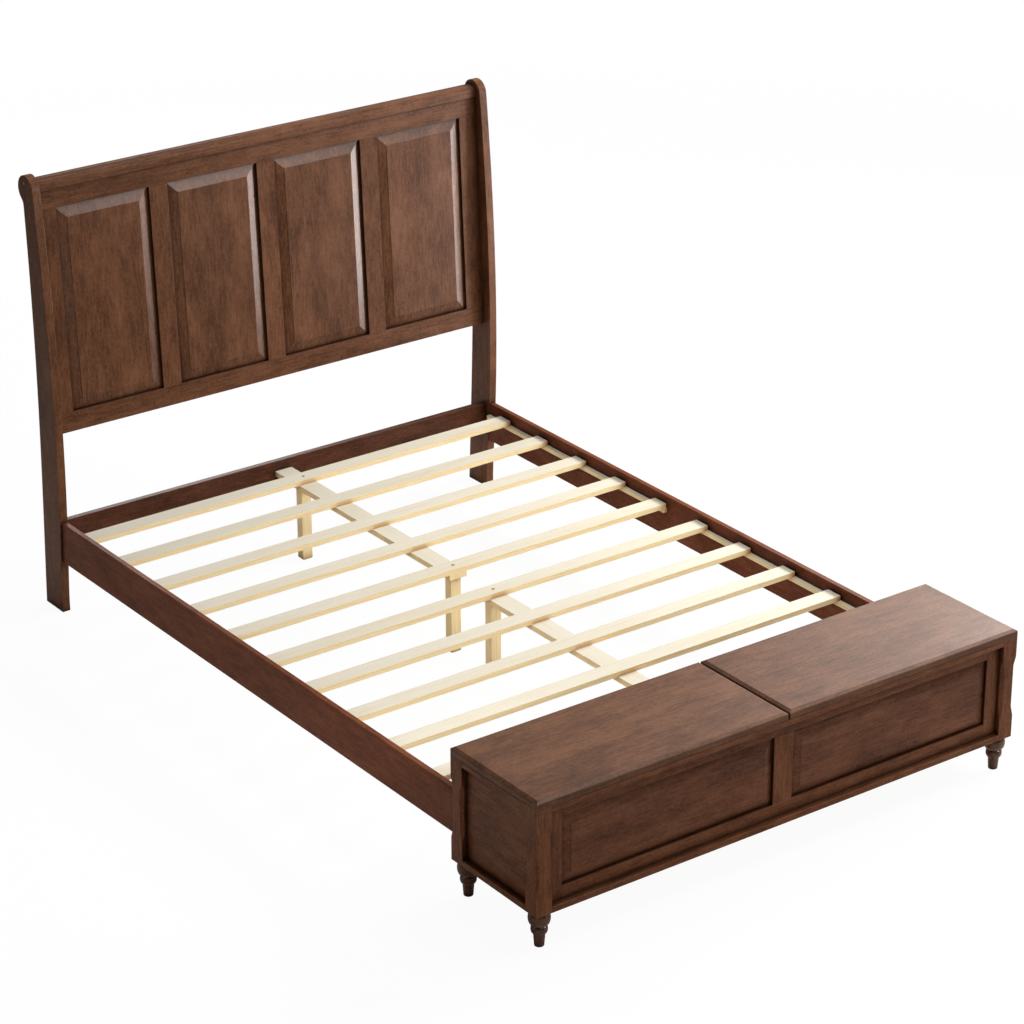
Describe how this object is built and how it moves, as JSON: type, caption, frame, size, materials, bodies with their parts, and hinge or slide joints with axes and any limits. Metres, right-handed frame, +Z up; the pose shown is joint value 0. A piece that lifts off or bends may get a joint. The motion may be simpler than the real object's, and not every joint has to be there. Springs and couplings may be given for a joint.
{
  "type": "bed with blanket chest footboard",
  "caption": "Wooden bed with a panelled, leaning headboard between curved posts, a slatted base and a low blanket chest with hinged lids for a footboard.",
  "frame": {"origin": "on the floor, under the middle of the whole bed's box", "axes": "+Z up, +Y towards the headboard, +X to the right seen from the chest"},
  "size_m": [1.616, 2.5144, 1.36],
  "materials": {
    "walnut": "satin brown stain over straight grain",
    "lid_walnut": "satin brown stain over straight grain",
    "dark_walnut": "satin dark brown stain",
    "pine": "planed, unfinished",
    "plug_wood": "satin",
    "plywood": "sanded",
    "steel": "zinc plated",
    "brass": "aged brass"
  },
  "bodies": {
    "bed_frame": {"headboard_post_left": "walnut", "headboard_post_right": "walnut", "headboard_cap": "walnut", "headboard_top_rail": "walnut", "headboard_bottom_rail": "walnut", "headboard_stile_left": "walnut", "headboard_stile_right": "walnut", "headboard_mullion_1": "walnut", "headboard_mullion_2": "walnut", "headboard_mullion_3": "walnut", "headboard_panel_1": "walnut", "headboard_panel_2": "walnut", "headboard_panel_3": "walnut", "headboard_panel_4": "walnut", "head_cross_rail": "dark_walnut", "post_plugs": "plug_wood", "side_rail_left": "dark_walnut", "side_rail_right": "dark_walnut", "slat_ledgers_left": "pine", "slat_ledgers_right": "pine", "rail_hook_plates": "steel", "rail_keeper_plates": "steel", "centre_rail_head": "pine", "centre_rail_foot": "pine", "support_legs": "pine", "support_leg_screws": "steel", "slats_head": "pine", "slats_foot": "pine", "chest_post_front_left": "walnut", "chest_post_front_right": "walnut", "chest_post_back_left": "walnut", "chest_post_back_right": "walnut", "turned_feet": "walnut", "front_cover_rail": "walnut", "front_base_rail": "walnut", "front_frame_top_rail": "walnut", "front_frame_bottom_rail": "walnut", "front_stile_left": "walnut", "front_stile_right": "walnut", "front_mullion": "walnut", "front_panel_left": "walnut", "front_panel_right": "walnut", "end_cover_rail_left": "walnut", "end_cover_rail_right": "walnut", "end_base_rail_left": "walnut", "end_base_rail_right": "walnut", "end_panel_left": "walnut", "end_panel_right": "walnut", "back_cover_rail": "walnut", "back_base_rail": "walnut", "back_mullion": "walnut", "back_panels": "walnut", "bottom_board": "plywood", "chest_divider": "walnut", "hinge_chest_leaves": "brass", "hinge_pins": "steel"},
    "lid_left": {"lid_left": "lid_walnut", "hinge_lid_leaves_left": "brass"},
    "lid_right": {"lid_right": "lid_walnut", "hinge_lid_leaves_right": "brass"}
  },
  "joints": [
    {"name": "lid_left_hinge", "type": "hinge", "parent": "bed_frame", "child": "lid_left", "pos_m": [-0.4055, -0.88765, 0.40565], "axis": [-1, 0, 0], "range_deg": [0, 90]},
    {"name": "lid_right_hinge", "type": "hinge", "parent": "bed_frame", "child": "lid_right", "pos_m": [0.4055, -0.88765, 0.40565], "axis": [-1, 0, 0], "range_deg": [0, 90]}
  ]
}
